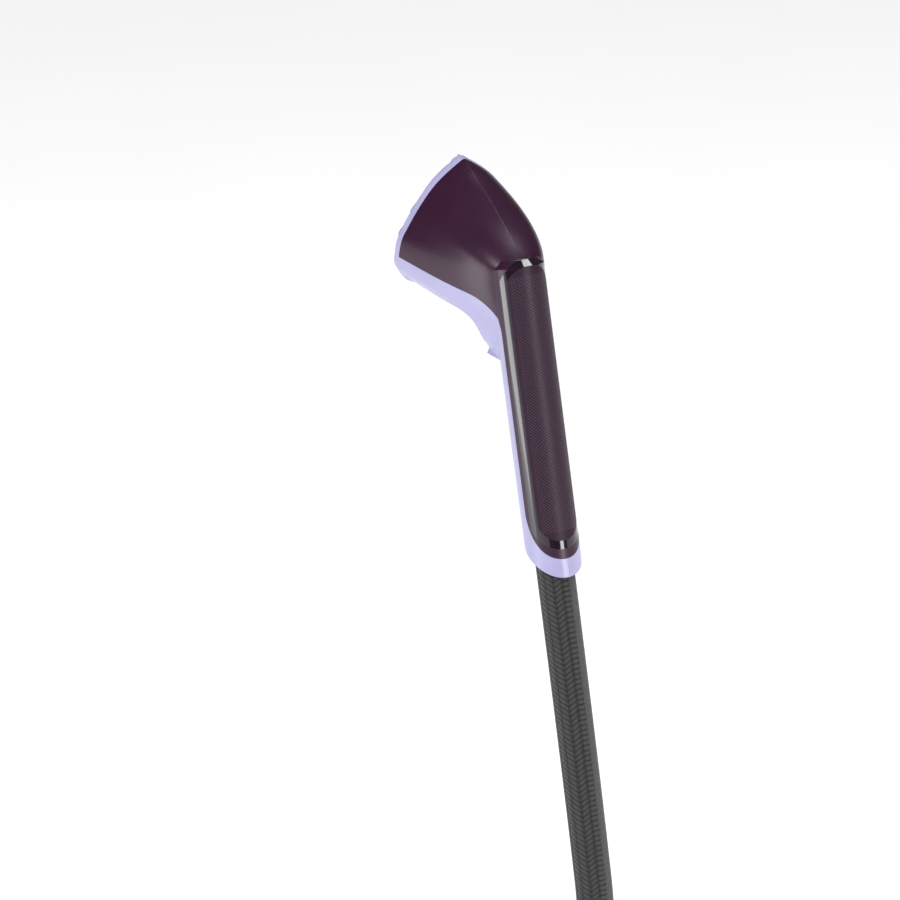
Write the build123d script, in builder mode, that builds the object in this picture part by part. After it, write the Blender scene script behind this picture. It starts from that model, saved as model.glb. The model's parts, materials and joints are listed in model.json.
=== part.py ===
from build123d import *
import os
from math import sin, cos, tan, radians, degrees, pi, sqrt, atan2, hypot

os.makedirs("parts", exist_ok=True)

# Steam iron head on a long hose handle, hung tip up on its neck.
# +Z is up, the plate faces -X, the handle's back faces +X, Y = 0 is the plane of symmetry.
# The origin is on the handle's axis at the neck, where a cradle's fork holds it.  Millimetres.

# ---------------------------------------------------------------- attitude
plate_tilt = 5.45            # plate plane leaning back from vertical, degrees
handle_lean = 14.6           # handle axis leaning out towards its lower end, degrees
head_x = -91.0               # rim plane's centre, level with the rear corners
head_z = 33.4

# ---------------------------------------------------------------- head
rim_half_width = 50.0        # half the width across the rear corners, at the back shell's rim
tip_reach = 66.7             # rear corners to tip
heel_drop = 18.6             # rear corners to the heel
band_depth = 8.5             # lilac side band, rim to plate side
band_swell = 0.9             # how far the band stands out beyond the rim
band_taper = 1.9             # how far it draws in again at the plate side
wall = 2.4                   # moulded shell wall of the head
ridge_peak = 90.0            # height of the ridge's foot above the rim plane
flank_bulge = 10.0
neck_flare = 2.2             # how far the flanks stand out past the handle beside its top end
ridge_soft = 52.0            # the ridge is a crease above this height, and softens below it
underside_z = 10.6           # underside of the head at the neck
underside_slope = 5.2        # degrees, falling towards the neck
neck_fillet = 24.0
seam_drop = 7.4              # the seam between the shells falls this many degrees from the corner
seam_turn_r = 34.0           # and turns down into the handle

# ---------------------------------------------------------------- handle
handle_r = 19.4
handle_wall = 2.8
handle_top = 50.5            # along the axis, up from the origin
handle_low = 158.7           # axis length to the slanted end, down from the origin
end_slant = 38.5             # slant of the lower end, degrees
seam_back = 2.6              # the seam runs this far behind the axis
seam_low = 129.0             # where it starts to swing back
seam_end = 161.0             # where it crosses the back
top_bevel = 4.6

grip_half = 15.4
grip_top = 46.2
grip_low = 147.3
grip_t = 1.4
grip_corner = 13.6
ring_w = 3.0                 # border seen on each side of the grip
ring_top_w = 5.0
ring_low_w = 6.2

# ---------------------------------------------------------------- plate stack
plate_t = 2.4
plate_inset = 4.4
plate_gap = 0.6              # gap between the band and the soleplate
vent_r = 1.3
casting_inset = 8.0
casting_t = 10.0
chamber_top, chamber_low, chamber_half, chamber_corner = 40.0, -3.0, 24.0, 5.0
chamber_depth = 6.0
cover_lap = 5.0              # the cover laps the chamber's edge by this much
cover_t = 2.0
gasket_t = 0.8
insulator_t = 2.5
insulator_gap = 1.5          # between the cover and the heat shield
element_r = 3.2
nipple_h = 15.0

# ---------------------------------------------------------------- trigger and valve
channel_half = 10.0
channel_floor = 8.0
chassis_top = 28.0
chassis_low = 58.0
pivot_a = -8.0
pivot_b = -10.5
pin_r = 1.5
pin_clear = 0.05
pin_half = 11.3
trigger_half = 7.5
slot_clear = 0.5
trigger_low = -52.0
plunger_r = 3.0
plunger_clear = 0.05
line_r = 2.9
line_bore = 1.8
tube_r = 3.9
tube_bore = 2.8

# ---------------------------------------------------------------- hose
hose_d = 27.6
hose_seat = 132.0            # the hose's end, down the axis
collar_low = 142.0
collar_top = 124.0
collar_clear = 0.05
floor_z = -600.0             # surface that the stored hose lies on
coil_radii = (130.0, 145.0, 145.0, 100.0)
coil_lead = 18.0
coil_tail = 17.0
tie_t = 1.2
tie_w = 14.0

hose_r = hose_d / 2
handle_in = handle_r - handle_wall

# ---------------------------------------------------------------- planes
lam, tau = radians(plate_tilt), radians(handle_lean)
T = Vector(sin(lam), 0, cos(lam))            # towards the tip
N = Vector(cos(lam), 0, -sin(lam))           # away from the plate
AX = Vector(-sin(tau), 0, cos(tau))          # up the handle
BK = Vector(cos(tau), 0, sin(tau))           # towards the handle's back
C0 = Vector(head_x, 0, head_z)


def head_pt(u, v, w):
    return C0 + T * u + Vector(0, v, 0) + N * w


def hand_pt(a, v, b):
    return AX * a + Vector(0, v, 0) + BK * b


def plate_plane(w):          # local x is +Y, local y is towards the tip
    return Plane(origin=C0 + N * w, x_dir=(0, 1, 0), z_dir=N)


def section_plane(u):        # local x is away from the plate, local y is +Y
    return Plane(origin=C0 + T * u, x_dir=N, z_dir=T)


def cross_plane(a):          # across the handle: local x is its back, local y is +Y
    return Plane(origin=AX * a, x_dir=BK, z_dir=AX)


def back_plane(b):           # seen from the handle's back: local x is +Y, local y is up the handle
    return Plane(origin=BK * b, x_dir=(0, 1, 0), z_dir=BK)


def side_plane(v):           # seen from the side: local x is the handle's back, local y is up the handle
    return Plane(origin=(0, v, 0), x_dir=BK, z_dir=Vector(0, -1, 0))


def flat(p):                 # a point of the plane Y = 0 in Plane.XZ's coordinates
    return (p.X, p.Z)


# ---------------------------------------------------------------- outline of the plate
outline_up = [(1.0, 0.0), (0.888, 0.238), (0.768, 0.435), (0.617, 0.61), (0.448, 0.765),
              (0.303, 0.879), (0.169, 0.966), (0.0, 1.0)]
outline_dn = [(0.34, 0.985), (0.62, 0.925), (0.84, 0.80), (0.96, 0.62), (1.0, 0.40), (1.02, 0.0)]
outline_low = [(0.105, 0.99), (0.21, 0.92), (0.27, 0.85), (0.36, 0.73), (0.48, 0.60), (0.64, 0.46), (0.82, 0.36)]


def outline(inset=0.0):
    pts = [(rim_half_width * h, tip_reach * f) for f, h in outline_up]
    pts += [(rim_half_width * h, -heel_drop * f) for f, h in outline_dn]
    out = []
    for i, (x, y) in enumerate(pts):
        if i == 0:
            dx, dy = pts[1][0] - x, pts[1][1] - y
            half = atan2(dx, -dy)
            out.append((0.0, y - inset / sin(half)))
            continue
        if i == len(pts) - 1:
            out.append((0.0, y + inset))
            continue
        dx, dy = pts[i + 1][0] - pts[i - 1][0], pts[i + 1][1] - pts[i - 1][1]
        n = hypot(dx, dy)
        q = (x + dy / n * inset, y - dx / n * inset)
        if q[0] > 0.5 and q[1] < out[-1][1] - 0.4:
            out.append(q)
    return out


def half_width(u):           # of the rim, at a height u above the rear corners
    pts = [(tip_reach * f, rim_half_width * h) for f, h in outline_up]
    pts += [(-tip_reach * f, rim_half_width * h) for f, h in outline_low]
    for (u1, w1), (u0, w0) in zip(pts[:-1], pts[1:]):
        if u0 <= u <= u1:
            t = (u - u0) / (u1 - u0)
            return w0 + (w1 - w0) * t
    return pts[-1][1] if u < pts[-1][0] else 0.0


cross = lam + tau            # angle between the plate and the handle
u_org = (Vector(0, 0, 0) - C0).dot(T)
w_org = (Vector(0, 0, 0) - C0).dot(N)


def axis_height(u):          # height of the handle's axis above the rim plane
    return w_org - (u - u_org) / cos(cross) * sin(cross)


foot_u = 22.0                # height of the ridge's foot
ridge_pts = [(tip_reach, 0.0), (56.6 / 66.7 * tip_reach, 0.256 * ridge_peak), (50.2 / 66.7 * tip_reach, 0.444 * ridge_peak),
             (41.8 / 66.7 * tip_reach, 0.631 * ridge_peak), (33.6 / 66.7 * tip_reach, 0.818 * ridge_peak),
             (26.1 / 66.7 * tip_reach, 0.936 * ridge_peak), (foot_u, ridge_peak)]


def ridge_height(u):
    if u < foot_u:
        return axis_height(u) + (ridge_peak - axis_height(foot_u))
    for (u1, w1), (u0, w0) in zip(ridge_pts[:-1], ridge_pts[1:]):
        if u0 <= u <= u1:
            return w0 + (w1 - w0) * (u - u0) / (u1 - u0)
    return 0.0


def flank(u, g=0.0):
    """Control points (w, v) of the half profile from the rim to the ridge, g inside the surface.

    Near the tip the ridge is a crease; towards its foot it opens into the handle's round back."""
    W, R = half_width(u), ridge_height(u)
    g = min(g, W * 0.55, R * 0.5 + 0.3)
    k = min(1.0, max(0.0, (ridge_soft - u) / (ridge_soft - foot_u)))
    k = k * k * (3 - 2 * k)
    n = hypot(R, W) or 1.0
    bul = flank_bulge * min(1.0, W / rim_half_width * 1.15)
    nw, nv = W / n, R / n
    sharp1 = (R * 0.33 + nw * bul * 1.2, W * 0.67 + nv * bul * 1.2)
    sharp2 = (R * 0.67 + nw * bul * 1.1, W * 0.33 + nv * bul * 1.1)
    side = handle_r + neck_flare * max(0.0, min(1.0, (u + 24.0) / 46.0))
    wa = axis_height(u)
    round1 = (0.58 * wa, W + 0.58 * (side - W) + 5.0)
    round2 = (R, side * 1.24)
    c1 = tuple(p * (1 - k) + q * k for p, q in zip(sharp1, round1))
    c2 = tuple(p * (1 - k) + q * k for p, q in zip(sharp2, round2))
    half = sin(atan2(c2[1], max(R - c2[0], 0.01)))
    return [(0.0, W - g), (c1[0] - nw * g, c1[1] - nv * g), (c2[0] - (nw * (1 - k) + k) * g, c2[1] - nv * g),
            (R - g / max(half, 0.5), 0.0)]


stations = (0.99, 0.93, 0.85, 0.75, 0.64, 0.53, 0.42)
stations_low = (foot_u - 2.0, 12.0, 3.0, -7.0, -15.0, -24.0, -33.0, -44.0)


def head_solid(g):
    """The head's envelope, g inside its outer surface, lofted from the tip down to the neck."""
    with BuildPart() as env:
        top = tip_reach - (0.0 if g == 0 else g * 1.7)
        us = [u * top for u in stations] + [u for u in stations_low]
        for u in us:
            pr = flank(u, g)
            b0, b1 = (band_swell, band_taper) if g == 0 else (0.0, 0.0)
            low = band_depth if g == 0 else band_depth + 8.0
            W = pr[0][1]
            s = min(1.0, W / 8.0)
            with BuildSketch(section_plane(u)):
                with BuildLine():
                    Bezier(*pr)
                    Bezier(*[(w, -v) for w, v in pr][::-1])
                    Polyline((0.0, -W), (-0.54 * low, -(W + b0 * s)), (-low, -(W - b1 * s)),
                             (-low, W - b1 * s), (-0.54 * low, W + b0 * s), (0.0, W))
                make_face()
        loft()
    return env.part


def side_region(g):
    """Side view of what the head may fill: above its underside and behind the neck's front."""
    s = radians(underside_slope)
    front = -(handle_r - g)
    # the underside line meets the handle's front line
    p = hand_pt(0, 0, front)
    z0 = underside_z + g
    # z = z0 - (x + 50) tan(s);  point on the front line at length a up the handle
    a = (z0 - (p.X + 50.0) * tan(s) - p.Z) / (AX.Z + AX.X * tan(s))
    corner = p + AX * a
    left = Vector(-150.0, 0, z0 + 100.0 * tan(s))
    low = hand_pt(-90.0, 0, front)
    with BuildPart() as region:
        with BuildSketch(Plane.XZ) as sk:
            with BuildLine():
                Polyline(flat(left), flat(corner), flat(low), (90.0, low.Z), (90.0, 160.0), (-150.0, 160.0), close=True)
            make_face()
            fillet(sk.vertices().sort_by(lambda q: hypot(q.X - corner.X, q.Y - corner.Z))[0], neck_fillet + g)
        extrude(amount=90.0, both=True)
    return region.part


def handle_solid(r, top, bevel):
    with BuildPart() as rod:
        with BuildSketch(cross_plane(-handle_low - 40.0)):
            Circle(r)
        extrude(amount=handle_low + 40.0 + top)
        if bevel > 0:
            chamfer(rod.faces().sort_by(Axis((0, 0, 0), AX))[-1].edges(), bevel)
        k = tan(radians(end_slant))
        with BuildSketch(side_plane(0)):
            with BuildLine():
                Polyline((-60.0, -handle_low + 60.0 * k), (60.0, -handle_low - 60.0 * k), (60.0, -400.0), (-60.0, -400.0), close=True)
            make_face()
        extrude(amount=60.0, both=True, mode=Mode.SUBTRACT)
    return rod.part


def dark_region():
    """Side view of the back shell: behind the rim plane and above the seam."""
    corner = C0
    up = C0 + T * (tip_reach + 30.0)
    s = radians(seam_drop)
    q = hand_pt(0, 0, seam_back)
    # the seam's falling line meets the line down the handle
    a = (corner.Z - (q.X - corner.X) * tan(s) - q.Z) / (AX.Z + AX.X * tan(s))
    bend = q + AX * a
    low = hand_pt(-seam_low, 0, seam_back)
    with BuildPart() as region:
        with BuildSketch(Plane.XZ) as sk:
            with BuildLine():
                l0 = FilletPolyline(flat(corner), flat(bend), flat(low), radius=seam_turn_r)
                m = hand_pt(-seam_low - 10.5, 0, 5.3)
                m2 = hand_pt(-seam_end + 8.2, 0, 12.2)
                e = hand_pt(-seam_end, 0, handle_r + 0.4)
                l1 = Spline(flat(low), flat(m), flat(m2), flat(e))
                far = hand_pt(-seam_end, 0, handle_r + 30.0)
                Polyline(flat(e), flat(far), (90.0, 180.0), flat(up), flat(corner))
            make_face()
        extrude(amount=90.0, both=True)
    return region.part


def outline_prism(half, top, low, corner):
    """A long round-ended patch seen from the handle's back, through the whole back half."""
    with BuildPart() as prism:
        with BuildSketch(back_plane(seam_back + 3.5)):
            with Locations((0, (top - low) / 2)):
                RectangleRounded(2 * half, top + low, corner)
        extrude(amount=handle_r + 10.0)
    return prism.part


# ---------------------------------------------------------------- the two shells
outer = (head_solid(0.0) & side_region(0.0)) + handle_solid(handle_r, handle_top, top_bevel)
inner = (head_solid(wall) & side_region(wall)) + handle_solid(handle_in, handle_top - 4.0, 0.0)
dark = dark_region()
patch = outline_prism(grip_half, grip_top, grip_low, grip_corner)
border = outline_prism(grip_half + ring_w, grip_top + ring_top_w, grip_low + ring_low_w, grip_corner + ring_w)
core = handle_solid(handle_r - grip_t, handle_top - grip_t, top_bevel)
skin = handle_solid(handle_r, handle_top, top_bevel) - core

boss_a = (-78.0, -112.0)
boss_r = 3.5
screw_r = 1.4
screw_head_r = 2.9
boss_front = -9.0
screw_head_b = -14.5

with BuildPart() as back_shell:
    add(outer & dark)
    add(inner, mode=Mode.SUBTRACT)
    add(skin & border, mode=Mode.SUBTRACT)
    # bosses for the screws that close the handle
    for a in boss_a:
        with BuildSketch(back_plane(boss_front)):
            with Locations((0, a)):
                Circle(boss_r)
        extrude(amount=handle_in - boss_front + 0.6)
        with BuildSketch(back_plane(boss_front)):
            with Locations((0, a)):
                Circle(screw_r)
        extrude(amount=14.0, mode=Mode.SUBTRACT)
back_shell.part.label = "back_shell"

with BuildPart() as bevel_ring:
    add(skin & border)
    add(patch, mode=Mode.SUBTRACT)
bevel_ring.part.label = "bevel_ring"

with BuildPart() as grip_insert:
    add(skin & patch)
grip_insert.part.label = "grip_insert"

slot_half = trigger_half + slot_clear
with BuildPart() as front_shell:
    add(outer)
    add(dark, mode=Mode.SUBTRACT)
    add(inner, mode=Mode.SUBTRACT)
    # opening for the trigger
    with BuildSketch(back_plane(-8.0)):
        with Locations((0, (-12.0 + trigger_low - 3.0) / 2)):
            RectangleRounded(2 * slot_half, -12.0 - (trigger_low - 3.0), 1.0)
    extrude(amount=-30.0, mode=Mode.SUBTRACT)
    # seats for the screws
    for a in boss_a:
        with BuildSketch(back_plane(boss_front)):
            with Locations((0, a)):
                Circle(boss_r)
        extrude(amount=-(handle_in + boss_front) - 0.6)
        with BuildSketch(back_plane(boss_front + 1.0)):
            with Locations((0, a)):
                Circle(screw_r + 0.2)
        extrude(amount=-30.0, mode=Mode.SUBTRACT)
        with BuildSketch(back_plane(screw_head_b)):
            with Locations((0, a)):
                Circle(screw_head_r + 0.2)
        extrude(amount=-30.0, mode=Mode.SUBTRACT)
front_shell.part.label = "front_shell"

with BuildPart() as shell_screws:
    for a in boss_a:
        with BuildSketch(back_plane(screw_head_b - 2.2)):
            with Locations((0, a)):
                Circle(screw_head_r)
        extrude(amount=2.2)
        with BuildSketch(back_plane(screw_head_b)):
            with Locations((0, a)):
                Circle(screw_r)
        extrude(amount=15.0)
shell_screws.part.label = "shell_screws"

# ---------------------------------------------------------------- plate stack
w_plate_out = -band_depth - plate_gap - plate_t
w_plate_in = -band_depth - plate_gap
w_cast_top = w_plate_in + casting_t


def plate_slab(inset, w0, w1):
    pts = outline(inset)
    with BuildPart() as slab:
        with BuildSketch(plate_plane(w0)):
            with BuildLine():
                Spline(*pts)
                Spline(*[(-x, y) for x, y in pts][::-1])
            make_face()
        extrude(amount=w1 - w0)
    return slab.part


vents = []
for i in range(5):
    t = i / 4
    for s in (-1, 1):
        vents.append((s * (4.0 + 13.0 * t), 30.0 - 30.0 * t))
for i in range(3):
    vents.append((0.0, 33.0 - 16.0 * i) if i else (0.0, 35.0))
vents = [(x * rim_half_width / 50.0 * 0.9, y * tip_reach / 66.7 * 0.9 - 1.0) for x, y in vents]

with BuildPart() as soleplate:
    add(plate_slab(plate_inset, w_plate_out, w_plate_in))
    chamfer(soleplate.faces().sort_by(Axis(C0, N))[0].edges(), 0.9)
    with BuildSketch(plate_plane(w_plate_out - 1.0)):
        with Locations(*vents):
            Circle(vent_r)
    extrude(amount=plate_t + 2.0, mode=Mode.SUBTRACT)
soleplate.part.label = "soleplate"

# heater path inside the casting
el_w = w_plate_in + 4.9
el_k, el_t = rim_half_width / 50.0, tip_reach / 66.7
el_path = [(-30.0 * el_k, -9.0), (-34.0 * el_k, 5.0 * el_t), (-26.0 * el_k, 25.0 * el_t), (0.0, 46.0 * el_t),
           (26.0 * el_k, 25.0 * el_t), (34.0 * el_k, 5.0 * el_t), (30.0 * el_k, -9.0)]


def element_solid(r, up):
    pts = [head_pt(el_path[0][1], el_path[0][0], up)] + [head_pt(y, x, el_w) for x, y in el_path] + \
          [head_pt(el_path[-1][1], el_path[-1][0], up)]
    with BuildPart() as el:
        with BuildLine() as path:
            FilletPolyline(*pts, radius=5.0)
        with BuildSketch(Plane(origin=pts[0], z_dir=-N)):
            Circle(r)
        sweep(path=path.wires()[0])
    return el.part


ins_top = w_cast_top + insulator_t
element = element_solid(element_r, ins_top + 6.0)

with BuildPart() as heating_element:
    add(element)
heating_element.part.label = "heating_element"

ch_half, ch_top = chamber_half * el_k, chamber_top * el_t
ch_slope = atan2(ch_top - chamber_low, ch_half)          # corner angle of the chamber's triangle
ch_in = chamber_corner / tan(ch_slope / 2)
ch_mid = chamber_corner + cover_lap / 2
cover_pts = [(0.0, ch_top - chamber_corner / cos(ch_slope) + ch_mid),
             (ch_half - ch_in + ch_mid * cos(ch_slope / 2), chamber_low + chamber_corner - ch_mid * sin(ch_slope / 2)),
             (-(ch_half - ch_in + ch_mid * cos(ch_slope / 2)), chamber_low + chamber_corner - ch_mid * sin(ch_slope / 2))]
ins_pts = [(37.0 * el_k, 12.0 * el_t), (-37.0 * el_k, 12.0 * el_t), (0.0, tip_reach * 0.80)]


def chamber_slab(grow, w0, w1):
    with BuildPart() as slab:
        with BuildSketch(plate_plane(w0)) as sk:
            with BuildLine():
                Polyline((0.0, ch_top), (ch_half, chamber_low), (-ch_half, chamber_low), close=True)
            make_face()
            fillet(sk.vertices(), chamber_corner)
            if grow > 0:
                offset(amount=grow)
        extrude(amount=w1 - w0)
    return slab.part


with BuildPart() as heater_casting:
    add(plate_slab(casting_inset, w_plate_in, w_cast_top))
    add(chamber_slab(0.0, w_cast_top - chamber_depth, w_cast_top + 1.0), mode=Mode.SUBTRACT)
    add(element, mode=Mode.SUBTRACT)
    with BuildSketch(plate_plane(w_plate_in - 1.0)):
        with Locations(*vents):
            Circle(vent_r)
    extrude(amount=casting_t - chamber_depth + 2.0, mode=Mode.SUBTRACT)
    with BuildSketch(plate_plane(w_cast_top)):
        with Locations(*cover_pts, *ins_pts):
            Circle(1.25)
    extrude(amount=-5.0, mode=Mode.SUBTRACT)
heater_casting.part.label = "heater_casting"

with BuildPart() as chamber_gasket:
    add(chamber_slab(cover_lap, w_cast_top, w_cast_top + gasket_t))
    add(chamber_slab(0.0, w_cast_top - 1.0, w_cast_top + gasket_t + 1.0), mode=Mode.SUBTRACT)
    with BuildSketch(plate_plane(w_cast_top - 1.0)):
        with Locations(*cover_pts):
            Circle(1.25)
    extrude(amount=4.0, mode=Mode.SUBTRACT)
chamber_gasket.part.label = "chamber_gasket"

w_cover0 = w_cast_top + gasket_t
w_cover1 = w_cover0 + cover_t
nip_u = 8.0
with BuildPart() as chamber_cover:
    add(chamber_slab(cover_lap, w_cover0, w_cover1))
    with BuildSketch(plate_plane(w_cover1)):
        with Locations((0, nip_u)):
            Circle(tube_bore)
    extrude(amount=nipple_h)
    with BuildSketch(plate_plane(w_cover0 - 1.0)):
        with Locations((0, nip_u)):
            Circle(tube_bore - 1.2)
    extrude(amount=nipple_h + cover_t + 3.0, mode=Mode.SUBTRACT)
    with BuildSketch(plate_plane(w_cover0 - 1.0)):
        with Locations(*cover_pts):
            Circle(1.25)
    extrude(amount=cover_t + 2.0, mode=Mode.SUBTRACT)
chamber_cover.part.label = "chamber_cover"

with BuildPart() as cover_screws:
    for p in cover_pts:
        with BuildSketch(plate_plane(w_cover1)):
            with Locations(p):
                Circle(2.1)
        extrude(amount=1.6)
        with BuildSketch(plate_plane(w_cast_top - 5.0)):
            with Locations(p):
                Circle(1.25)
        extrude(amount=5.0 + gasket_t + cover_t)
cover_screws.part.label = "cover_screws"

with BuildPart() as heat_shield:
    add(plate_slab(wall - 1.2, w_cast_top, ins_top))
    add(inner, mode=Mode.INTERSECT)
    add(chamber_slab(cover_lap + insulator_gap, w_cast_top - 1.0, ins_top + 1.0), mode=Mode.SUBTRACT)
    with BuildSketch(plate_plane(w_cast_top - 1.0)):
        with Locations(*ins_pts):
            Circle(1.25)
        with Locations((el_path[0][0], el_path[0][1]), (el_path[-1][0], el_path[-1][1])):
            Circle(element_r + 1.0)
    extrude(amount=insulator_t + 2.0, mode=Mode.SUBTRACT)
heat_shield.part.label = "heat_shield"

with BuildPart() as shield_screws:
    for p in ins_pts:
        with BuildSketch(plate_plane(ins_top)):
            with Locations(p):
                Circle(2.4)
        extrude(amount=1.8)
        with BuildSketch(plate_plane(w_cast_top - 5.0)):
            with Locations(p):
                Circle(1.25)
        extrude(amount=5.0 + insulator_t)
shield_screws.part.label = "shield_screws"

with BuildPart() as thermostat:
    with BuildSketch(plate_plane(w_cover1)):
        with Locations((0, 24.5)):
            Circle(6.0)
    extrude(amount=5.0)
    with BuildSketch(plate_plane(w_cover1 + 5.0)):
        with Locations((-2.6, 24.5), (2.6, 24.5)):
            Rectangle(1.0, 4.0)
    extrude(amount=5.0)
thermostat.part.label = "thermostat"

with BuildPart() as thermal_fuse:
    with BuildSketch(plate_plane(w_cover1)):
        with Locations((11.5 * el_k, 6.0)):
            RectangleRounded(5.0, 13.0, 1.5)
    extrude(amount=4.0)
thermal_fuse.part.label = "thermal_fuse"

# ---------------------------------------------------------------- chassis, valve, trigger
sw_a, sw_len, sw_b0, sw_b1 = -49.0, 12.8, -4.0, 3.0
wire_b, wire_v, wire_r = 12.2, 5.0, 1.3
with BuildPart() as chassis:
    with BuildSketch(cross_plane(-chassis_low)):
        Circle(handle_in)
        with Locations((channel_floor - 40.0, 0)):
            Rectangle(80.0, 2 * channel_half, mode=Mode.SUBTRACT)
        with Locations((wire_b, wire_v), (wire_b, -wire_v)):
            Circle(wire_r, mode=Mode.SUBTRACT)
    extrude(amount=chassis_low + chassis_top)
    # front corners cut back clear of the neck above the handle
    with BuildSketch(side_plane(0)):
        with BuildLine():
            Polyline((-40.0, 2.0), (-2.0, 2.0), (-2.0, 60.0), (-40.0, 60.0), close=True)
        make_face()
    extrude(amount=40.0, both=True, mode=Mode.SUBTRACT)
    # pedestal for the switch
    with BuildSketch(back_plane(sw_b1)):
        with Locations((0, sw_a)):
            Rectangle(8.0, sw_len + 2.0)
    extrude(amount=channel_floor - sw_b1 + 1.0)
    # trigger pin's holes
    with BuildSketch(side_plane(0)):
        with Locations((pivot_b, pivot_a)):
            Circle(pin_r)
    extrude(amount=30.0, both=True, mode=Mode.SUBTRACT)
chassis.part.label = "chassis"

with BuildPart() as microswitch:
    with BuildSketch(back_plane(sw_b0)):
        with Locations((0, sw_a)):
            Rectangle(6.0, sw_len)
    extrude(amount=sw_b1 - sw_b0)
    with BuildSketch(back_plane(sw_b0)):
        with Locations((0, sw_a - 1.5)):
            Circle(1.2)
    extrude(amount=-1.0)
microswitch.part.label = "microswitch"

valve_a0, valve_a1, valve_b0 = -36.0, -15.0, -2.0
plunger_a = -24.0
inlet_v, inlet_b = -7.0, 3.0
with BuildPart() as valve_body:
    with BuildSketch(back_plane(valve_b0)):
        with Locations((0, (valve_a0 + valve_a1) / 2)):
            Rectangle(2 * channel_half, valve_a1 - valve_a0)
    extrude(amount=channel_floor - valve_b0)
    with BuildSketch(back_plane(valve_b0)):
        with Locations((0, plunger_a)):
            Circle(plunger_r + plunger_clear)
    extrude(amount=8.0, mode=Mode.SUBTRACT)
    with BuildSketch(cross_plane(valve_a0)):
        with Locations((inlet_b, inlet_v)):
            Circle(line_bore)
    extrude(amount=8.0, mode=Mode.SUBTRACT)
    with BuildSketch(cross_plane(valve_a1)):
        with Locations((inlet_b, 0)):
            Circle(tube_bore)
    extrude(amount=-4.0, mode=Mode.SUBTRACT)
valve_body.part.label = "valve_body"

with BuildPart() as valve_plunger:
    with BuildSketch(back_plane(-8.0)):
        with Locations((0, plunger_a)):
            Circle(plunger_r + 1.2)
    extrude(amount=1.2)
    with BuildSketch(back_plane(-6.8)):
        with Locations((0, plunger_a)):
            Circle(plunger_r)
    extrude(amount=9.3)
valve_plunger.part.label = "valve_plunger"

with BuildPart() as trigger:
    with BuildSketch(side_plane(0)) as sk:
        with BuildLine():
            Spline((-20.6, -13.2), (-24.6, -21.0), (-25.2, -33.0), (-23.4, -45.0), (-22.0, trigger_low))
            Polyline((-22.0, trigger_low), (-15.6, trigger_low), (-15.2, -46.0), (-14.6, -20.0), (-14.3, -13.2), (-20.6, -13.2))
        make_face()
    extrude(amount=trigger_half, both=True)
    fillet(trigger.edges().filter_by(lambda e: e.center().X < hand_pt(e.center().dot(AX), 0, -19.0).X and abs(abs(e.center().Y) - trigger_half) < 0.1), 2.2)
    # hinge ears, pad for the plunger and the switch's finger
    with BuildSketch(side_plane(0)):
        with BuildLine():
            Polyline((-14.9, -20.0), (-8.06, -22.8), (-8.06, -25.4), (-15.1, -28.5), close=True)
        make_face()
    extrude(amount=3.0, both=True)
    with BuildSketch(side_plane(0)):
        with BuildLine():
            Polyline((-16.4, -48.4), (-10.5, -49.2), (-10.5, -51.6), (-16.4, -51.9), close=True)
        make_face()
    extrude(amount=2.0, both=True)
    for v in (-trigger_half + 0.0, trigger_half - 3.4):
        with BuildSketch(side_plane(v)):
            with BuildLine():
                Polyline((-14.9, -22.0), (pivot_b + 2.2, pivot_a - 2.2), (pivot_b - 2.0, pivot_a + 2.4), (-14.0, -9.6), (-14.6, -13.4), close=True)
            make_face()
            with Locations((pivot_b, pivot_a)):
                Circle(3.3)
        extrude(amount=-3.4)
    with BuildSketch(side_plane(0)):
        with Locations((pivot_b, pivot_a)):
            Circle(pin_r + pin_clear)
    extrude(amount=30.0, both=True, mode=Mode.SUBTRACT)
trigger.part.label = "trigger"

with BuildPart() as trigger_pin:
    with BuildSketch(side_plane(0)):
        with Locations((pivot_b, pivot_a)):
            Circle(pin_r)
    extrude(amount=pin_half, both=True)
trigger_pin.part.label = "trigger_pin"

with BuildPart() as trigger_spring:
    with BuildSketch(side_plane(0)):
        with Locations((pivot_b, pivot_a)):
            Circle(pin_r + 1.3)
            Circle(pin_r + 0.35, mode=Mode.SUBTRACT)
    extrude(amount=3.0, both=True)
    with BuildSketch(side_plane(2.6)):
        with BuildLine():
            Polyline((pivot_b - 1.1, pivot_a - 2.0), (pivot_b - 2.1, pivot_a - 1.7), (-14.15, -18.5), (-13.15, -18.8), close=True)
        make_face()
    extrude(amount=-0.9)
trigger_spring.part.label = "trigger_spring"

# ---------------------------------------------------------------- steam and wires
with BuildPart() as steam_line:
    with BuildSketch(cross_plane(-collar_top)):
        with Locations((inlet_b, inlet_v)):
            Circle(line_r)
            Circle(line_bore, mode=Mode.SUBTRACT)
    extrude(amount=collar_top + valve_a0)
steam_line.part.label = "steam_line"

nip_end = head_pt(nip_u, 0, w_cover1 + 4.0)
t0 = hand_pt(valve_a1, 0, inlet_b)
# the tube's upright run meets the line that comes out of the nipple
den = AX.X * N.Z - AX.Z * N.X
s_up = ((nip_end.X - t0.X) * N.Z - (nip_end.Z - t0.Z) * N.X) / den
t1 = t0 + AX * s_up
with BuildPart() as steam_tube:
    with BuildLine() as path:
        FilletPolyline(t0, t1, nip_end, radius=13.0)
    with BuildSketch(Plane(origin=t0, z_dir=AX)):
        Circle(tube_r)
    sweep(path=path.wires()[0])
    with BuildSketch(Plane(origin=t0, z_dir=AX)):
        Circle(tube_bore)
    sweep(path=path.wires()[0], mode=Mode.SUBTRACT)
steam_tube.part.label = "steam_tube"

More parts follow.
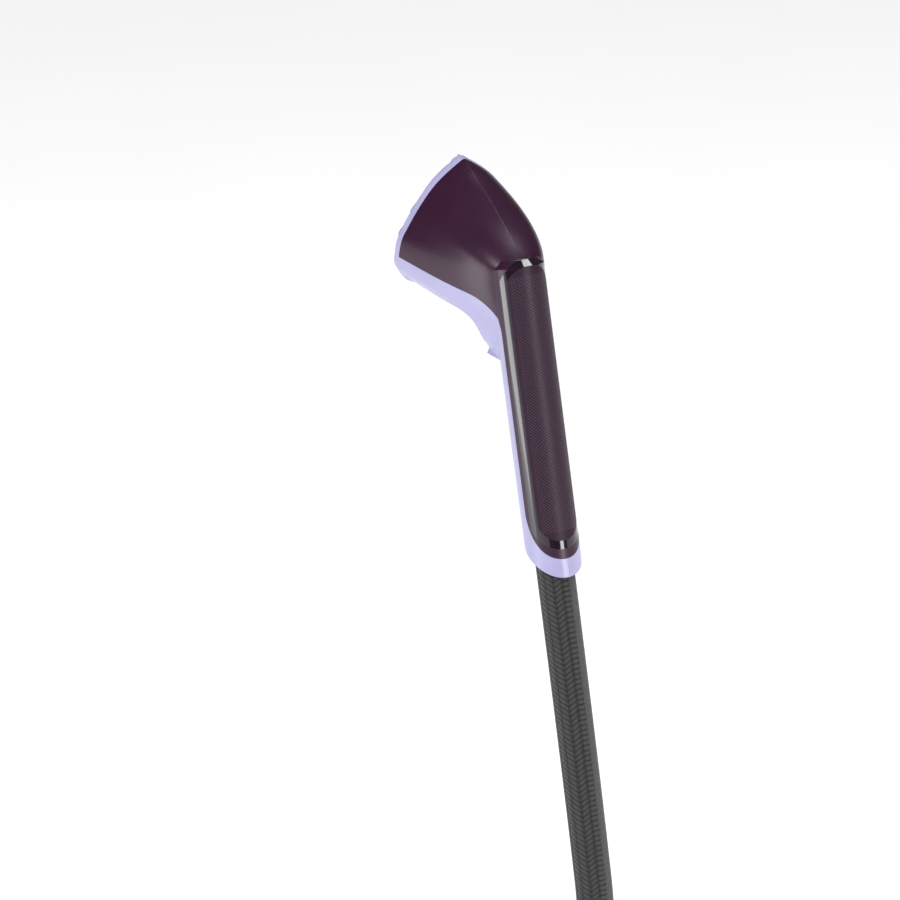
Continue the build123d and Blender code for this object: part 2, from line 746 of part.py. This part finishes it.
block_a = 6.0
with BuildPart() as terminal_block:
    with BuildSketch(cross_plane(chassis_top)):
        with Locations((wire_b - 1.2, 0)):
            Rectangle(5.6, 18.0)
    extrude(amount=block_a)
    with BuildSketch(cross_plane(chassis_top + block_a)):
        with Locations((wire_b - 1.2, wire_v), (wire_b - 1.2, -wire_v)):
            Circle(1.4)
    extrude(amount=-2.0, mode=Mode.SUBTRACT)
terminal_block.part.label = "terminal_block"

with BuildPart() as power_wires:
    with BuildSketch(cross_plane(-collar_top)):
        with Locations((wire_b, wire_v), (wire_b, -wire_v)):
            Circle(wire_r)
    extrude(amount=collar_top + chassis_top)
power_wires.part.label = "power_wires"

# ---------------------------------------------------------------- hose end in the handle
with BuildPart() as hose_collar:
    with BuildSketch(cross_plane(-collar_low)):
        Circle(handle_in)
        Circle(hose_r + collar_clear, mode=Mode.SUBTRACT)
    extrude(amount=collar_low - hose_seat)
    with BuildSketch(cross_plane(-hose_seat)):
        Circle(handle_in)
    extrude(amount=hose_seat - collar_top)
    with BuildSketch(cross_plane(-hose_seat)):
        with Locations((inlet_b, inlet_v)):
            Circle(line_bore)
    extrude(amount=hose_seat - collar_top, mode=Mode.SUBTRACT)
hose_collar.part.label = "hose_collar"

# ---------------------------------------------------------------- the hose's route
hose_z = floor_z + tie_t + hose_r
D1 = -AX
lean2 = radians(12.6)
D2 = Vector(sin(lean2), 0, -cos(lean2))
F1 = Vector(0, -1, 0)
D3 = (D2 + F1).normalized()
q0 = hand_pt(-hose_seat, 0, 0)
q1 = q0 + D1 * 182.0
run3 = 146.0
run4 = 132.0
q2 = q1 + D2 * ((q1.Z - (hose_z - D3.Z * run3)) / -D2.Z)
q3 = q2 + D3 * run3
q4 = q3 + F1 * run4
route = [q0, q1, q2, q3, q4]


def route_radii(pts):
    out = []
    for a, b, c in zip(pts[:-2], pts[1:-1], pts[2:]):
        turn = (b - a).get_angle(c - b)
        out.append(0.45 * min((b - a).length, (c - b).length) / tan(radians(turn) / 2))
    return out


radii = route_radii(route)
print("hose route radii", [round(r, 1) for r in radii], "in diameters", [round(r / hose_d, 1) for r in radii])
with BuildPart() as hose_tube:
    with BuildLine() as path:
        FilletPolyline(*route, radius=radii)
    with BuildSketch(Plane(origin=q0, z_dir=D1)):
        Circle(hose_r)
    sweep(path=path.wires()[0])
hose_tube.part.label = "hose_tube"
tube_length = path.wires()[0].length
print("tube length", round(tube_length, 1), "volume ratio", round(hose_tube.part.volume / (pi * hose_r ** 2 * tube_length), 4))

# one turn on the surface, drawing in a little each quarter
R1, R2, R3, R4 = coil_radii
q5 = q4 + F1 * coil_lead
c1 = q5 + Vector(-R1, 0, 0)
k1 = c1 + Vector(0, -R1, 0)
c2 = k1 + Vector(0, R2, 0)
k2 = c2 + Vector(-R2, 0, 0)
c3 = k2 + Vector(R3, 0, 0)
k3 = c3 + Vector(0, R3, 0)
c4 = k3 + Vector(0, -R4, 0)
k4 = c4 + Vector(R4, 0, 0)
k5 = k4 + F1 * coil_tail
d45 = sqrt(0.5)
with BuildPart() as hose_coil:
    with BuildLine() as coil_path:
        Line(q4, q5)
        ThreePointArc(q5, c1 + Vector(R1 * d45, -R1 * d45, 0), k1)
        ThreePointArc(k1, c2 + Vector(-R2 * d45, -R2 * d45, 0), k2)
        ThreePointArc(k2, c3 + Vector(-R3 * d45, R3 * d45, 0), k3)
        ThreePointArc(k3, c4 + Vector(R4 * d45, R4 * d45, 0), k4)
        Line(k4, k5)
    with BuildSketch(Plane(origin=q4, z_dir=F1)):
        Circle(hose_r)
    sweep(path=coil_path.wires()[0])
hose_coil.part.label = "hose_coil"
coil_length = coil_path.wires()[0].length
print("coil length", round(coil_length, 1), "volume ratio", round(hose_coil.part.volume / (pi * hose_r ** 2 * coil_length), 4))
print("whole hose", round(tube_length + coil_length, 1))
print("route", [tuple(round(c, 2) for c in p) for p in route])
print("coil", [tuple(round(c, 2) for c in p) for p in (q4, q5, c1, k1, c2, k2, c3, k3, c4, k4, k5)])

# tie round the two runs that lie side by side
tie_y = k4.Y - 8.0
x_a, x_b = k4.X, q4.X
with BuildPart() as hose_tie:
    with BuildSketch(Plane(origin=((x_a + x_b) / 2, tie_y, hose_z), x_dir=(1, 0, 0), z_dir=(0, -1, 0))):
        SlotCenterToCenter(x_b - x_a, 2 * (hose_r + tie_t))
        SlotCenterToCenter(x_b - x_a, 2 * hose_r, mode=Mode.SUBTRACT)
    extrude(amount=tie_w / 2, both=True)
hose_tie.part.label = "hose_tie"

# connector on the far end
con_r, con_len = 14.8, 34.0
rim_len = 5.0
nozzle_r, nozzle_len = 4.0, 16.0
con = Plane(origin=k5, x_dir=(1, 0, 0), z_dir=F1)
with BuildPart() as hose_connector:
    with BuildSketch(con):
        Circle(con_r)
    extrude(amount=con_len)
    chamfer(hose_connector.edges().filter_by(GeomType.CIRCLE).sort_by(Axis(k5, F1))[0], 1.6)
    with BuildSketch(con.offset(con_len)):
        Circle(con_r - 1.8)
        Circle(con_r - 4.2, mode=Mode.SUBTRACT)
    extrude(amount=rim_len)
    for i in range(5):
        with BuildSketch(con.offset(9.0 + 4.0 * i)):
            Circle(con_r + 1.0)
            Circle(con_r - 0.7, mode=Mode.SUBTRACT)
        extrude(amount=1.8, mode=Mode.SUBTRACT)
    with BuildSketch(con.offset(con_len)):
        Circle(nozzle_r)
    extrude(amount=-10.0, mode=Mode.SUBTRACT)
    with BuildSketch(con.offset(con_len)):
        with Locations((-7.6, 0), (7.6, 0), (0, 7.6)):
            Circle(1.0)
    extrude(amount=-4.0, mode=Mode.SUBTRACT)
hose_connector.part.label = "hose_connector"

groove_r = 3.1
with BuildPart() as connector_nozzle:
    with BuildSketch(con.offset(con_len - 10.0)):
        Circle(nozzle_r)
    extrude(amount=10.0 + nozzle_len)
    with BuildSketch(con.offset(con_len + 6.0)):
        Circle(nozzle_r + 1.0)
        Circle(groove_r, mode=Mode.SUBTRACT)
    extrude(amount=2.0, mode=Mode.SUBTRACT)
    with BuildSketch(con.offset(con_len + nozzle_len)):
        Circle(1.8)
    extrude(amount=-nozzle_len - 7.0, mode=Mode.SUBTRACT)
connector_nozzle.part.label = "connector_nozzle"

with BuildPart() as connector_oring:
    with BuildSketch(con.offset(con_len + 6.1)):
        Circle(groove_r + 1.4)
        Circle(groove_r, mode=Mode.SUBTRACT)
    extrude(amount=1.8)
connector_oring.part.label = "connector_oring"

with BuildPart() as connector_pins:
    with BuildSketch(con.offset(con_len - 4.0)):
        with Locations((-7.6, 0), (7.6, 0), (0, 7.6)):
            Circle(1.0)
    extrude(amount=4.0 + rim_len)
connector_pins.part.label = "connector_pins"

for piece in (back_shell, front_shell, bevel_ring, grip_insert, shell_screws, soleplate, heater_casting, heating_element,
              chamber_gasket, chamber_cover, cover_screws, heat_shield, shield_screws, thermostat, thermal_fuse, chassis,
              microswitch, valve_body, valve_plunger, trigger, trigger_pin, trigger_spring, steam_line, steam_tube,
              terminal_block, power_wires, hose_collar, hose_tube, hose_coil, hose_tie, hose_connector, connector_nozzle,
              connector_oring, connector_pins):
    export_step(piece.part, "parts/" + piece.part.label + ".step")
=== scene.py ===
import json
import math
import bpy
from mathutils import Vector, Matrix


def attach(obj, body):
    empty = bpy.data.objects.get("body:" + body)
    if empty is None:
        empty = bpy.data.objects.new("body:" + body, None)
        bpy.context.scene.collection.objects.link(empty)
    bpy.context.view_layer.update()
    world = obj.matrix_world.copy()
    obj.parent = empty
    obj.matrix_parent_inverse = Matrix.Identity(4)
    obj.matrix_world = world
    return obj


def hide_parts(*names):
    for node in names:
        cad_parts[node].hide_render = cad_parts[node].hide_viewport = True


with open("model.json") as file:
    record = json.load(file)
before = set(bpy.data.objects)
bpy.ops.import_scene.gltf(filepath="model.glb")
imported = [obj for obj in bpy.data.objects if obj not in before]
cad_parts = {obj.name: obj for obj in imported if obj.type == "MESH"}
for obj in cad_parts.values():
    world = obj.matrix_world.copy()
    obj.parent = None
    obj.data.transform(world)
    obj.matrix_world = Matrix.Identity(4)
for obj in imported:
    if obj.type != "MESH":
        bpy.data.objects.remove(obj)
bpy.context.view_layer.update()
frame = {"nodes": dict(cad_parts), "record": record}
NODES = frame["nodes"]
scene = bpy.context.scene
FLOOR_Z = -0.6

# ------------------------------------------------------------------ camera
CAM_POS = (1.4691, -0.8406, 0.6984)
PSI, ELEV, ROLL = math.radians(28.0), math.radians(25.0), math.radians(0.796)
cam_data = bpy.data.cameras.new("camera")
cam = bpy.data.objects.new("camera", cam_data)
scene.collection.objects.link(cam)
scene.camera = cam
cam_data.sensor_width = 36.0
cam_data.lens = 106.05
cam_data.clip_end = 50.0
cam_data.dof.use_dof = False
level = Vector((math.sin(PSI), math.cos(PSI), 0))
fwd = Vector((-math.cos(PSI) * math.cos(ELEV), math.sin(PSI) * math.cos(ELEV), -math.sin(ELEV)))
level_up = level.cross(fwd)
right = level * math.cos(ROLL) - level_up * math.sin(ROLL)
up = right.cross(fwd)
cam.matrix_world = Matrix(((right.x, up.x, -fwd.x, CAM_POS[0]),
                           (right.y, up.y, -fwd.y, CAM_POS[1]),
                           (right.z, up.z, -fwd.z, CAM_POS[2]),
                           (0, 0, 0, 1)))

# ------------------------------------------------------------------ the handle's own axes
HANDLE_LEAN = math.radians(14.6)
ALONG = Vector((-math.sin(HANDLE_LEAN), 0, math.cos(HANDLE_LEAN)))
BACK = Vector((math.cos(HANDLE_LEAN), 0, math.sin(HANDLE_LEAN)))

# ------------------------------------------------------------------ hose
HOSE_D = 0.0276
HOSE_SKIN = 0.0003           # the drawn sleeve lies this far inside the CAD bar
COIL_Z = -0.585
COIL_X = 0.01199
route = [(0.03327, 0, -0.12774), (0.07915, 0, -0.30386), (0.11947, 0, -0.48425),
         (0.14199, -0.10324, COIL_Z), (0.14199, -0.23524, COIL_Z)]
quarters = [(0.130, -0.25324), (0.145, -0.23824), (0.145, -0.23824), (0.100, -0.19324)]   # radius, centre's y
STEP = math.radians(30)      # control points stand this far apart round the coil
for i, (radius, centre_y) in enumerate(quarters):
    for k in range(3):
        turn = -(math.radians(90 * i) + STEP * (k + 0.5))
        reach = radius / math.cos(STEP / 2)
        route.append((COIL_X + reach * math.cos(turn), centre_y + reach * math.sin(turn), COIL_Z))
route.append((0.11199, -0.21024, COIL_Z))


def nurbs_points(name, pts, res):
    """Points along a quadratic NURBS curve through the control polygon."""
    cu = bpy.data.curves.new(name, "CURVE")
    cu.dimensions = "3D"
    sp = cu.splines.new("NURBS")
    sp.points.add(len(pts) - 1)
    for p, q in zip(sp.points, pts):
        p.co = (*q, 1.0)
    sp.order_u = 3
    sp.use_endpoint_u = True
    sp.resolution_u = res
    cu.resolution_u = res
    ob = bpy.data.objects.new(name, cu)
    scene.collection.objects.link(ob)
    me = bpy.data.meshes.new_from_object(ob)
    out = [v.co.copy() for v in me.vertices]
    bpy.data.meshes.remove(me)
    bpy.data.objects.remove(ob)
    bpy.data.curves.remove(cu)
    return out


def tube_mesh(name, path, radius, sides=64):
    """A tube along path with its length in U (metres) and its angle in V (0 to 1), V = 0 towards +Y."""
    n = len(path)
    tang = [(path[min(i + 1, n - 1)] - path[max(i - 1, 0)]).normalized() for i in range(n)]
    side = Vector((0, 1, 0))
    side = (side - tang[0] * side.dot(tang[0])).normalized()
    verts, runs = [], []
    run = 0.0
    for i in range(n):
        if i:
            run += (path[i] - path[i - 1]).length
            side = tang[i - 1].rotation_difference(tang[i]) @ side
            side = (side - tang[i] * side.dot(tang[i])).normalized()
        other = tang[i].cross(side)
        runs.append(run)
        for k in range(sides):
            a = 2 * math.pi * k / sides
            verts.append(path[i] + (side * math.cos(a) + other * math.sin(a)) * radius)
    cells = [(i, k) for i in range(n - 1) for k in range(sides)]
    corners = ((0, 0), (0, 1), (1, 1), (1, 0))
    me = bpy.data.meshes.new(name)
    me.from_pydata(verts, [], [[(i + di) * sides + (k + dk) % sides for di, dk in corners] for i, k in cells])
    uv = me.uv_layers.new(name="run")
    loops = ((runs[i + di], (k + dk) / sides) for i, k in cells for di, dk in corners)
    for loop, at in zip(uv.data, loops):
        loop.uv = at
    me.polygons.foreach_set("use_smooth", [True] * len(me.polygons))
    ob = bpy.data.objects.new(name, me)
    scene.collection.objects.link(ob)
    return ob


hose_path = nurbs_points("hose_route", route, 40)
hose = tube_mesh("hose", hose_path, HOSE_D / 2 - HOSE_SKIN)
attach(hose, "iron")
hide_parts("hose_tube", "hose_coil")


# ------------------------------------------------------------------ material helpers
class Net:
    """Short hands for building a material's node tree."""

    def __init__(self, name):
        self.material = bpy.data.materials.new(name)
        self.material.use_nodes = True
        self.tree = self.material.node_tree
        self.shader = self.tree.nodes["Principled BSDF"]

    def add(self, kind, **props):
        node = self.tree.nodes.new(kind)
        for k, v in props.items():
            setattr(node, k, v)
        return node

    def put(self, socket, value):
        """Link a socket, or set its default to a number or colour."""
        if hasattr(value, "is_output"):
            self.tree.links.new(value, socket)
        elif isinstance(value, (tuple, list)) and len(value) == 3 and socket.type == "RGBA":
            socket.default_value = (*value, 1.0)
        else:
            socket.default_value = value

    def set(self, **kw):
        for k, v in kw.items():
            self.put(self.shader.inputs[k.replace("_", " ")], v)

    def math(self, op, a, b=0.0, c=0.0, clamp=False):
        node = self.add("ShaderNodeMath", operation=op, use_clamp=clamp)
        for socket, value in zip(node.inputs, (a, b, c)):
            self.put(socket, value)
        return node.outputs[0]

    def plus(self, a, b):
        return self.math("ADD", a, b)

    def times(self, a, b):
        return self.math("MULTIPLY", a, b)

    def mix(self, f, a, b):
        node = self.add("ShaderNodeMix", data_type="RGBA")
        for i, value in ((0, f), (6, a), (7, b)):
            self.put(node.inputs[i], value)
        return node.outputs[2]

    def ramp(self, f, stops, mode="LINEAR"):
        node = self.add("ShaderNodeValToRGB")
        node.color_ramp.interpolation = mode
        while len(node.color_ramp.elements) < len(stops):
            node.color_ramp.elements.new(0.5)
        for e, (p, c) in zip(node.color_ramp.elements, stops):
            e.position = p
            e.color = (c, c, c, 1) if isinstance(c, (int, float)) else (*c, 1)
        self.put(node.inputs[0], f)
        return node.outputs[0]

    def coords(self):
        return self.add("ShaderNodeTexCoord").outputs["Object"]

    def split(self, vec):
        node = self.add("ShaderNodeSeparateXYZ")
        self.put(node.inputs[0], vec)
        return node.outputs[:3]

    def join(self, x, y):
        node = self.add("ShaderNodeCombineXYZ")
        self.put(node.inputs[0], x)
        self.put(node.inputs[1], y)
        return node.outputs[0]

    def noise(self, vec, scale, detail=2.0):
        node = self.add("ShaderNodeTexNoise")
        self.put(node.inputs["Vector"], vec)
        for k, v in (("Scale", scale), ("Detail", detail), ("Roughness", 0.55)):
            node.inputs[k].default_value = v
        return node.outputs["Fac"]

    def bump(self, height, strength, distance, normal=None):
        node = self.add("ShaderNodeBump")
        node.inputs["Strength"].default_value = strength
        node.inputs["Distance"].default_value = distance
        self.put(node.inputs["Height"], height)
        if normal is not None:
            self.put(node.inputs["Normal"], normal)
        return node.outputs[0]

    def soft_edge(self, radius):
        node = self.add("ShaderNodeBevel", samples=6)
        node.inputs["Radius"].default_value = radius
        return node.outputs[0]

    def waves(self, value, pitch):
        """Ridges of the given pitch: the absolute value of a sine."""
        return self.math("ABSOLUTE", self.math("SINE", self.times(value, math.pi / pitch)))

    def length(self, a, b):
        return self.math("SQRT", self.plus(self.times(a, a), self.times(b, b)))

    def centred(self, value):
        """Position inside each unit cell, from -0.5 to 0.5."""
        return self.math("SUBTRACT", self.math("FRACT", value), 0.5)

    def sheen(self, weight, rough):
        self.shader.inputs["Sheen Weight"].default_value = weight
        self.shader.inputs["Sheen Roughness"].default_value = rough


GRAIN_DEPTH = 0.00004


def moulded(name, color, rough, coat, grain=0.0, edge=0.0006, coat_rough=0.06):
    """Moulded plastic: slight unevenness, fine grain and softened edges."""
    n = Net(name)
    p = n.coords()
    cloud = n.noise(p, 38.0, 3.0)
    fine = n.noise(p, 900.0)
    patchy = n.ramp(cloud, [(0.3, 0.0), (0.7, 1.0)])
    base = n.mix(patchy, tuple(c * 0.94 for c in color), tuple(min(1, c * 1.05) for c in color))
    n.set(Base_Color=base, Roughness=n.math("MULTIPLY_ADD", cloud, 0.08, rough - 0.04), Coat_Weight=coat)
    n.shader.inputs["Coat Roughness"].default_value = coat_rough
    normal = n.soft_edge(edge)
    n.set(Normal=n.bump(fine, grain, GRAIN_DEPTH, normal) if grain else normal)
    return n.material


def metal(name, color, rough, brush, axis=(0, 1, 0)):
    """Metal brushed along an axis; partly diffuse, so that it stays light where the room is dark."""
    n = Net(name)
    p = n.coords()
    run = n.add("ShaderNodeMapping")
    run.inputs["Scale"].default_value = tuple(18.0 if a else 1400.0 for a in axis)
    n.put(run.inputs["Vector"], p)
    streak = n.noise(run.outputs[0], 1.0, 4.0)
    cloud = n.noise(p, 55.0, 3.0)
    n.set(Base_Color=n.mix(cloud, tuple(c * 0.88 for c in color), color), Metallic=0.65,
          Roughness=n.math("MULTIPLY_ADD", streak, 0.18, rough - 0.06),
          Normal=n.bump(streak, brush, 0.00003, n.soft_edge(0.0003)))
    return n.material


# ------------------------------------------------------------------ materials, by the record's slots
DARK, LILAC = (0.029, 0.0042, 0.023), (0.345, 0.335, 0.53)
MATS = {
    "shell_dark": moulded("shell_dark_satin", DARK, 0.34, 0.12, grain=0.25, edge=0.0005, coat_rough=0.22),
    "shell_lilac": moulded("shell_lilac_gloss", LILAC, 0.30, 0.35, coat_rough=0.12),
    "ring_gloss": moulded("ring_black_gloss", (0.010, 0.004, 0.011), 0.10, 1.0, edge=0.0004, coat_rough=0.03),
    "trigger_dark": moulded("trigger_satin", DARK, 0.38, 0.1, grain=0.3, edge=0.0005, coat_rough=0.25),
    "plate_metal": metal("plate_polished", (0.70, 0.70, 0.72), 0.20, 0.12),
    "cast_metal": metal("casting_raw", (0.52, 0.52, 0.53), 0.48, 0.3),
    "steel": metal("steel_bright", (0.60, 0.60, 0.61), 0.24, 0.1),
    "brass": metal("brass_turned", (0.72, 0.52, 0.24), 0.22, 0.1, axis=(1, 0, 0)),
    "silicone": moulded("silicone_red", (0.36, 0.075, 0.045), 0.55, 0.0),
    "clear_tube": moulded("tube_milky", (0.62, 0.62, 0.58), 0.35, 0.1),
    "inner_plastic": moulded("inner_black", (0.022, 0.022, 0.024), 0.5, 0.0, grain=0.4),
    "shield_plastic": moulded("shield_brown", (0.055, 0.042, 0.036), 0.6, 0.0, grain=0.4),
    "wire": moulded("wire_blue", (0.04, 0.05, 0.20), 0.4, 0.1),
    "hose_end": moulded("connector_black", (0.020, 0.020, 0.023), 0.42, 0.05, grain=0.5, edge=0.0005),
}


def grip_material():
    """Soft grip with staggered dots, laid out round the handle."""
    HANDLE_R = 0.0194
    PITCH_ROUND, PITCH_ALONG = 0.0027, 0.00225
    DOT_R, DOT_RIM = 0.00036, 0.00022
    HALF_WIDTH, TOP, LOW = 0.0138, 0.0400, -0.1410     # the dots stop short of the border
    n = Net("grip_dotted")
    p = n.coords()
    x, y, z = n.split(p)
    along = n.plus(n.times(x, ALONG.x), n.times(z, ALONG.z))
    back = n.plus(n.times(x, BACK.x), n.times(z, BACK.z))
    turn = n.times(n.math("ARCTAN2", y, back), HANDLE_R)
    near = []
    for shift in (0.25, 0.75):      # two grids, half a cell apart; the whole cells keep values positive
        across = n.centred(n.plus(n.math("DIVIDE", turn, PITCH_ROUND), 40 + shift))
        down = n.centred(n.plus(n.math("DIVIDE", along, PITCH_ALONG), 200 + shift))
        near.append(n.length(n.times(across, PITCH_ROUND), n.times(down, PITCH_ALONG)))
    fall = n.math("DIVIDE", n.math("SUBTRACT", n.math("MINIMUM", *near), DOT_R), DOT_RIM, clamp=True)
    dot = n.math("SUBTRACT", 1.0, fall, clamp=True)
    span = n.times(n.math("LESS_THAN", along, TOP), n.math("GREATER_THAN", along, LOW))
    dot = n.times(dot, n.times(n.math("LESS_THAN", n.math("ABSOLUTE", y), HALF_WIDTH), span))
    fine = n.noise(p, 1500.0)
    cloud = n.noise(p, 60.0)
    soft = n.mix(cloud, (0.019, 0.0035, 0.016), (0.024, 0.005, 0.020))
    # painted highlight: the dots are painted lighter than the grip around them, standing in for the glint on
    # their glossy tops
    n.set(Base_Color=n.mix(dot, soft, (0.075, 0.052, 0.072)),
          Roughness=n.math("MULTIPLY_ADD", dot, -0.18, 0.44))
    n.shader.inputs["Specular IOR Level"].default_value = 0.32
    normal = n.bump(fine, 0.25, GRAIN_DEPTH, n.soft_edge(0.0004))
    n.set(Normal=n.bump(dot, 1.0, 0.00035, normal))
    return n.material


def braid_material():
    """Plaited sleeve: columns of slanting strands, and two ribbed columns, one of them stitched."""
    COLS = 14.0
    STRAND_PITCH, STITCH_PITCH = 0.0038, 0.0028
    RELIEF = 0.0011
    # column:  0    1    2    3    4    5    6    7    8    9    10   11   12   13
    lean = [0.5, 0.5, 0.5, 0.5, 0.0, 1.0, 1.0, 0.0, 1.0, 0.0, 1.0, 0.0, 1.0, 0.0]
    plain = [0.0, 1.0, 1.0, 0.0, 0.0, 0.0, 0.0, 0.0, 0.0, 0.0, 0.0, 0.0, 0.0, 0.0]
    seam = [0.0, 0.0, 1.0, 0.0, 0.0, 0.0, 0.0, 0.0, 0.0, 0.0, 0.0, 0.0, 0.0, 0.0]
    n = Net("hose_plaited")
    su, sv = n.split(n.add("ShaderNodeUVMap", uv_map="run").outputs[0])[:2]
    column = n.times(sv, COLS)
    t = n.math("FRACT", column)
    at = n.math("DIVIDE", n.plus(n.math("FLOOR", column), 0.5), COLS)

    def by_column(values):
        return n.ramp(at, [(i / COLS, c) for i, c in enumerate(values)], "CONSTANT")

    way = n.math("MULTIPLY_ADD", by_column(lean), 2.0, -1.0)
    flat = by_column(plain)
    sewn = by_column(seam)
    # strands
    phase = n.plus(n.math("DIVIDE", su, STRAND_PITCH), n.times(way, n.times(t, 1.05)))
    strand = n.math("POWER", n.waves(phase, 1.0), 0.62)
    crown = n.math("POWER", n.math("SINE", n.times(t, math.pi)), 0.42)
    rib = n.math("MULTIPLY_ADD", n.noise(n.join(n.times(su, 120.0), n.times(sv, 700.0)), 1.0), 0.25, 0.62)
    height = n.mix(flat, n.times(strand, crown), rib)
    # stitch holes
    hole = n.length(n.centred(n.math("DIVIDE", su, STITCH_PITCH)), n.times(n.math("SUBTRACT", t, 0.30), 2.3))
    hole = n.times(n.math("SUBTRACT", 1.0, n.math("DIVIDE", hole, 0.30, clamp=True)), sewn)
    height = n.math("SUBTRACT", height, n.times(hole, 1.1))
    # yarn lines along each strand
    yarn = n.math("SINE", n.times(phase, math.pi * 12.0))
    fuzz = n.noise(n.join(n.times(su, 2600.0), n.times(sv, 220.0)), 1.0)
    relief = n.plus(height, n.plus(n.times(yarn, 0.035), n.times(fuzz, 0.06)))
    # painted shade: the colour follows the relief and darkens from the strands' crowns into the grooves
    # between them
    color = n.ramp(height, [(0.05, 0.004), (0.45, 0.019), (0.95, 0.042)])
    # painted highlight: the two ribbed columns, which run down one side of the hose, are painted lighter
    color = n.mix(n.times(flat, 0.6), color, (0.062, 0.060, 0.062))
    # painted shade: the stitch holes are painted nearly black
    color = n.mix(hole, color, (0.004, 0.004, 0.004))
    n.set(Base_Color=color, Roughness=0.62, Normal=n.bump(relief, 1.0, RELIEF))
    n.sheen(0.15, 0.45)
    n.shader.inputs["Specular IOR Level"].default_value = 0.35
    return n.material


def strap_material():
    """Hook-and-loop strap: ribs across a woven band, slightly fuzzy."""
    RIB_PITCH, CROSS_PITCH = 0.0011, 0.0016
    n = Net("strap_woven")
    p = n.coords()
    x, y, z = n.split(p)
    rib = n.waves(n.plus(x, y), RIB_PITCH)
    cross = n.waves(n.plus(z, n.math("SUBTRACT", x, y)), CROSS_PITCH)
    weave = n.times(n.math("POWER", rib, 0.6), n.math("POWER", cross, 0.6))
    height = n.plus(weave, n.times(n.noise(p, 1800.0), 0.2))
    # painted shade: the colour follows the relief and darkens the hollows of the weave, with some random tone
    # from the fuzz
    n.set(Base_Color=n.ramp(height, [(0.1, (0.007, 0.007, 0.008)), (0.9, (0.040, 0.040, 0.042))]),
          Roughness=0.7, Normal=n.bump(height, 0.9, 0.0004, n.soft_edge(0.0004)))
    n.sheen(0.3, 0.5)
    return n.material


MATS["grip_soft"] = grip_material()
MATS["hose_braid"] = braid_material()
MATS["hose_strap"] = strap_material()

for sub in frame["record"]["subparts"]:
    slots = NODES[sub["node"]].data.materials
    slots.clear()
    slots.append(MATS["hose_strap" if sub["node"] == "hose_tie" else sub["material_slot"]])
hose.data.materials.append(MATS["hose_braid"])


# ------------------------------------------------------------------ floor and light
def floor_material():
    n = Net("floor_pale")
    cloud = n.noise(n.coords(), 3.0)
    n.set(Base_Color=n.mix(cloud, (0.945, 0.945, 0.945), (0.97, 0.97, 0.97)), Roughness=0.75)
    return n.material


FLOOR_HALF = 8
floor_mesh = bpy.data.meshes.new("floor")
square = ((-1, -1), (1, -1), (1, 1), (-1, 1))
floor_mesh.from_pydata([(x * FLOOR_HALF, y * FLOOR_HALF, FLOOR_Z) for x, y in square], [], [(0, 1, 2, 3)])
floor = bpy.data.objects.new("floor", floor_mesh)
scene.collection.objects.link(floor)
floor.data.materials.append(floor_material())

# the room is nearly black in reflections, white to the camera and bright for everything else
ROOM_LIGHT, ROOM_MIRRORED, ROOM_SEEN = 0.92, 0.06, 1.06
scene.view_settings.view_transform = "Standard"
world = bpy.data.worlds.new("world")
scene.world = world
world.use_nodes = True
tree = world.node_tree
sky = tree.nodes["Background"]
sky.inputs[0].default_value = (0.985, 0.985, 1.0, 1)
ray = tree.nodes.new("ShaderNodeLightPath")
mirrored = tree.nodes.new("ShaderNodeMix")
tree.links.new(ray.outputs["Is Glossy Ray"], mirrored.inputs[0])
mirrored.inputs[2].default_value = ROOM_LIGHT
mirrored.inputs[3].default_value = ROOM_MIRRORED
seen = tree.nodes.new("ShaderNodeMix")
tree.links.new(ray.outputs["Is Camera Ray"], seen.inputs[0])
tree.links.new(mirrored.outputs[0], seen.inputs[2])
seen.inputs[3].default_value = ROOM_SEEN
tree.links.new(seen.outputs[0], sky.inputs[1])


def area(name, pos, target, size, power, size_y=None):
    """A soft box at pos, aimed at target."""
    d = bpy.data.lights.new(name, "AREA")
    d.size = size
    if size_y:
        d.shape = "RECTANGLE"
        d.size_y = size_y
    d.energy = power
    o = bpy.data.objects.new(name, d)
    scene.collection.objects.link(o)
    o.location = pos
    o.rotation_euler = (Vector(target) - Vector(pos)).to_track_quat("-Z", "Y").to_euler()


area("box_left", (-0.15, -2.2, -0.1), (0, 0, -0.1), 0.9, 16, size_y=1.5)
area("box_back", (2.6, 0.62, 0.35), (0, 0, -0.05), 0.7, 22, size_y=1.4)
area("box_top", (-0.1, 0.95, 2.1), (0, 0, 0), 0.9, 16)
area("key", (1.2, -1.7, 1.9), (0, 0, 0), 1.0, 22)
